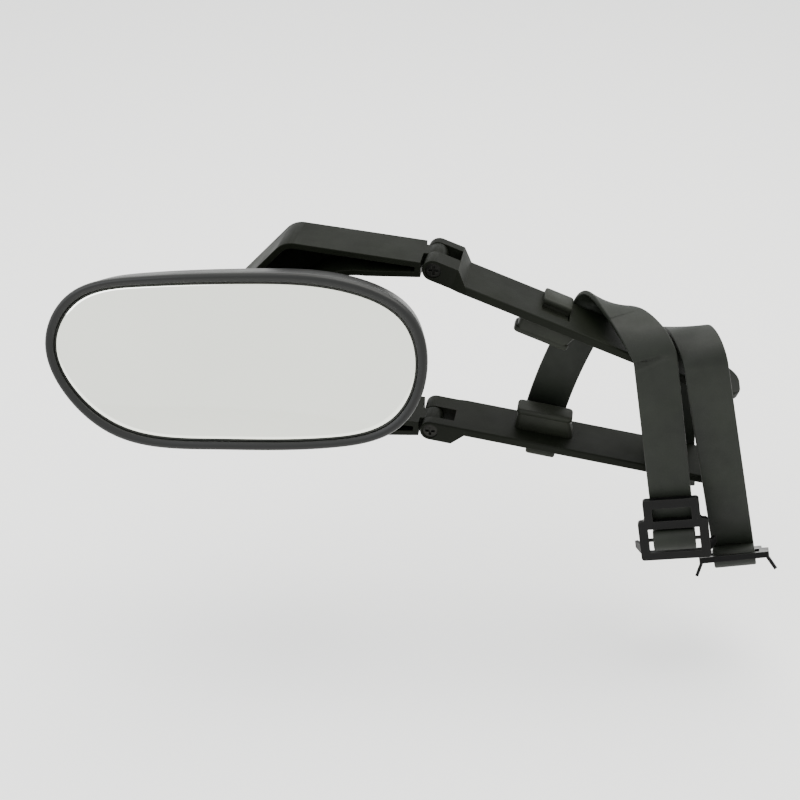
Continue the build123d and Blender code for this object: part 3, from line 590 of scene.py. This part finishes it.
def ladderTree():
    # a row of slot cutters: how many, how far apart and how large are its inputs
    tree = bpy.data.node_groups.new("slotRow", "GeometryNodeTree")
    tree.interface.new_socket(name="Geometry", in_out="OUTPUT", socket_type="NodeSocketGeometry")
    tree.interface.new_socket(name="Count", in_out="INPUT", socket_type="NodeSocketInt")
    tree.interface.new_socket(name="Pitch", in_out="INPUT", socket_type="NodeSocketFloat")
    tree.interface.new_socket(name="Slot size", in_out="INPUT", socket_type="NodeSocketVector")
    tree.interface.new_socket(name="Material", in_out="INPUT", socket_type="NodeSocketMaterial")
    given = addNode(tree, "NodeGroupInput").outputs
    stepUp = addNode(tree, "ShaderNodeCombineXYZ", links={"Y": given["Pitch"]})
    line = addNode(tree, "GeometryNodeMeshLine", links={"Count": given["Count"], "Offset": stepUp.outputs[0]})
    block = addNode(tree, "GeometryNodeMeshCube", links={"Size": given["Slot size"]})
    row = addNode(tree, "GeometryNodeInstanceOnPoints",
                  links={"Points": line.outputs["Mesh"], "Instance": block.outputs["Mesh"]})
    real = addNode(tree, "GeometryNodeRealizeInstances", links={"Geometry": row.outputs["Instances"]})
    coat = addNode(tree, "GeometryNodeSetMaterial",
                   links={"Geometry": real.outputs["Geometry"], "Material": given["Material"]})
    addNode(tree, "NodeGroupOutput", links={"Geometry": coat.outputs["Geometry"]})
    return tree


slotRow = ladderTree()


def slotCutters(run, material):
    holder = bpy.data.objects.new("slotRowHolder", bpy.data.meshes.new("slotRowHolder"))
    bpy.context.scene.collection.objects.link(holder)
    maker = holder.modifiers.new("slots", "NODES")
    maker.node_group = slotRow
    values = {"Count": run["slots"], "Pitch": ladder["pitch"] * mm, "Material": material,
              "Slot size": (ladder["width"] * mm, ladder["height"] * mm, ladder["through"] * mm)}
    for socket in slotRow.interface.items_tree:
        if socket.in_out == "INPUT":
            maker[socket.identifier] = values[socket.name]
    bpy.context.view_layer.update()
    mesh = bpy.data.meshes.new_from_object(holder.evaluated_get(bpy.context.evaluated_depsgraph_get()))
    bpy.data.objects.remove(holder)
    tail, outward, along = strapStations(run)[0]
    along = unitVector(along)
    across = unitVector(np.cross(outward, along))
    through = np.cross(across, along)  # right-handed, so the cutters aren't turned inside out
    for vertex in mesh.vertices:
        x, y, z = vertex.co
        vertex.co = tail * mm + across * x + along * (y + ladder["endMargin"] * mm) + through * z
    cutter = bpy.data.objects.new("slotCutter", mesh)
    bpy.context.scene.collection.objects.link(cutter)
    return cutter


def cutAway(piece, cutter):
    # the cut is made part of the piece's own mesh
    cut = piece.modifiers.new("cut", "BOOLEAN")
    cut.operation = "DIFFERENCE"
    cut.solver = "EXACT"
    cut.object = cutter
    bpy.context.view_layer.update()
    mesh = bpy.data.meshes.new_from_object(piece.evaluated_get(bpy.context.evaluated_depsgraph_get()))
    piece.modifiers.clear()
    piece.data = mesh
    bpy.data.objects.remove(cutter)


for number, run in straps.items():
    points, faces = strapMesh(run)
    piece = newSolid(f"strapRubber{number}", points, faces, materials["extrudedStrapRubber"])
    cutAway(piece, slotCutters(run, materials["extrudedStrapRubber"]))
    piece.data.shade_smooth()
    joinFrame(piece, "upper_jaw", [f"strap_{number}"])
print("straps made")

# studio: lengths in metres, the camera's own in millimetres and degrees
camera = {"target": (-12.3, -45.4, -11.6), "azimuth": 8.6, "elevation": 31.5, "roll": 0.2,
          "distance": 720.0, "lens": 61.9, "sensor": 36.0}
studio = {"floorSize": 8, "floorDrop": 0.05, "paper": "#fbfbfa", "paperRough": 0.9,
          "sky": "#f4f5f4", "skyStrength": 2.0}
softboxes = {
    "softboxTop": {"place": (0.2, 0.3, 1.1), "size": (1.2, 0.9), "power": 16.0, "tint": "#fffdf8"},
    "softboxLeft": {"place": (-0.9, -0.5, 0.7), "size": (0.7, 0.9), "power": 7.0, "tint": "#f6f8ff"},
}


def lookFrom(settings):
    azimuth, elevation = radians(settings["azimuth"]), radians(settings["elevation"])
    back = Vector((sin(azimuth) * cos(elevation), -cos(azimuth) * cos(elevation), sin(elevation)))
    eye = bpy.data.objects.new("camera", bpy.data.cameras.new("camera"))
    bpy.context.scene.collection.objects.link(eye)
    eye.data.sensor_width = settings["sensor"]
    eye.data.lens = settings["lens"]
    eye.location = (Vector(settings["target"]) + back * settings["distance"]) * mm
    eye.rotation_euler = back.to_track_quat("Z", "Y").to_euler()
    eye.rotation_euler.rotate_axis("Z", radians(settings["roll"]))
    bpy.context.scene.camera = eye


def areaLight(name, box):
    # a soft box turned towards the middle of the object
    data = bpy.data.lights.new(name, "AREA")
    data.shape = "RECTANGLE"
    data.size, data.size_y = box["size"]
    data.energy = box["power"]
    data.color = hexColour(box["tint"])[:3]
    light = bpy.data.objects.new(name, data)
    bpy.context.scene.collection.objects.link(light)
    light.location = box["place"]
    light.rotation_euler = Vector(box["place"]).to_track_quat("Z", "Y").to_euler()


lookFrom(camera)
lowest = min(cadBox[0][2], cadBox[1][2]) - studio["floorDrop"]
bpy.ops.mesh.primitive_plane_add(size=studio["floorSize"], location=(0, 0, lowest))
floor = bpy.context.object
floor.name = "studioFloor"
paper = bpy.data.materials.new("studioPaper")
paper.use_nodes = True
paperShader = paper.node_tree.nodes["Principled BSDF"]
paperShader.inputs["Base Color"].default_value = hexColour(studio["paper"])
paperShader.inputs["Roughness"].default_value = studio["paperRough"]
floor.data.materials.append(paper)

world = bpy.data.worlds.new("studio")
bpy.context.scene.world = world
world.use_nodes = True
sky = world.node_tree.nodes["Background"]
sky.inputs["Color"].default_value = hexColour(studio["sky"])
sky.inputs["Strength"].default_value = studio["skyStrength"]
for name, box in softboxes.items():
    areaLight(name, box)
print("studio made")
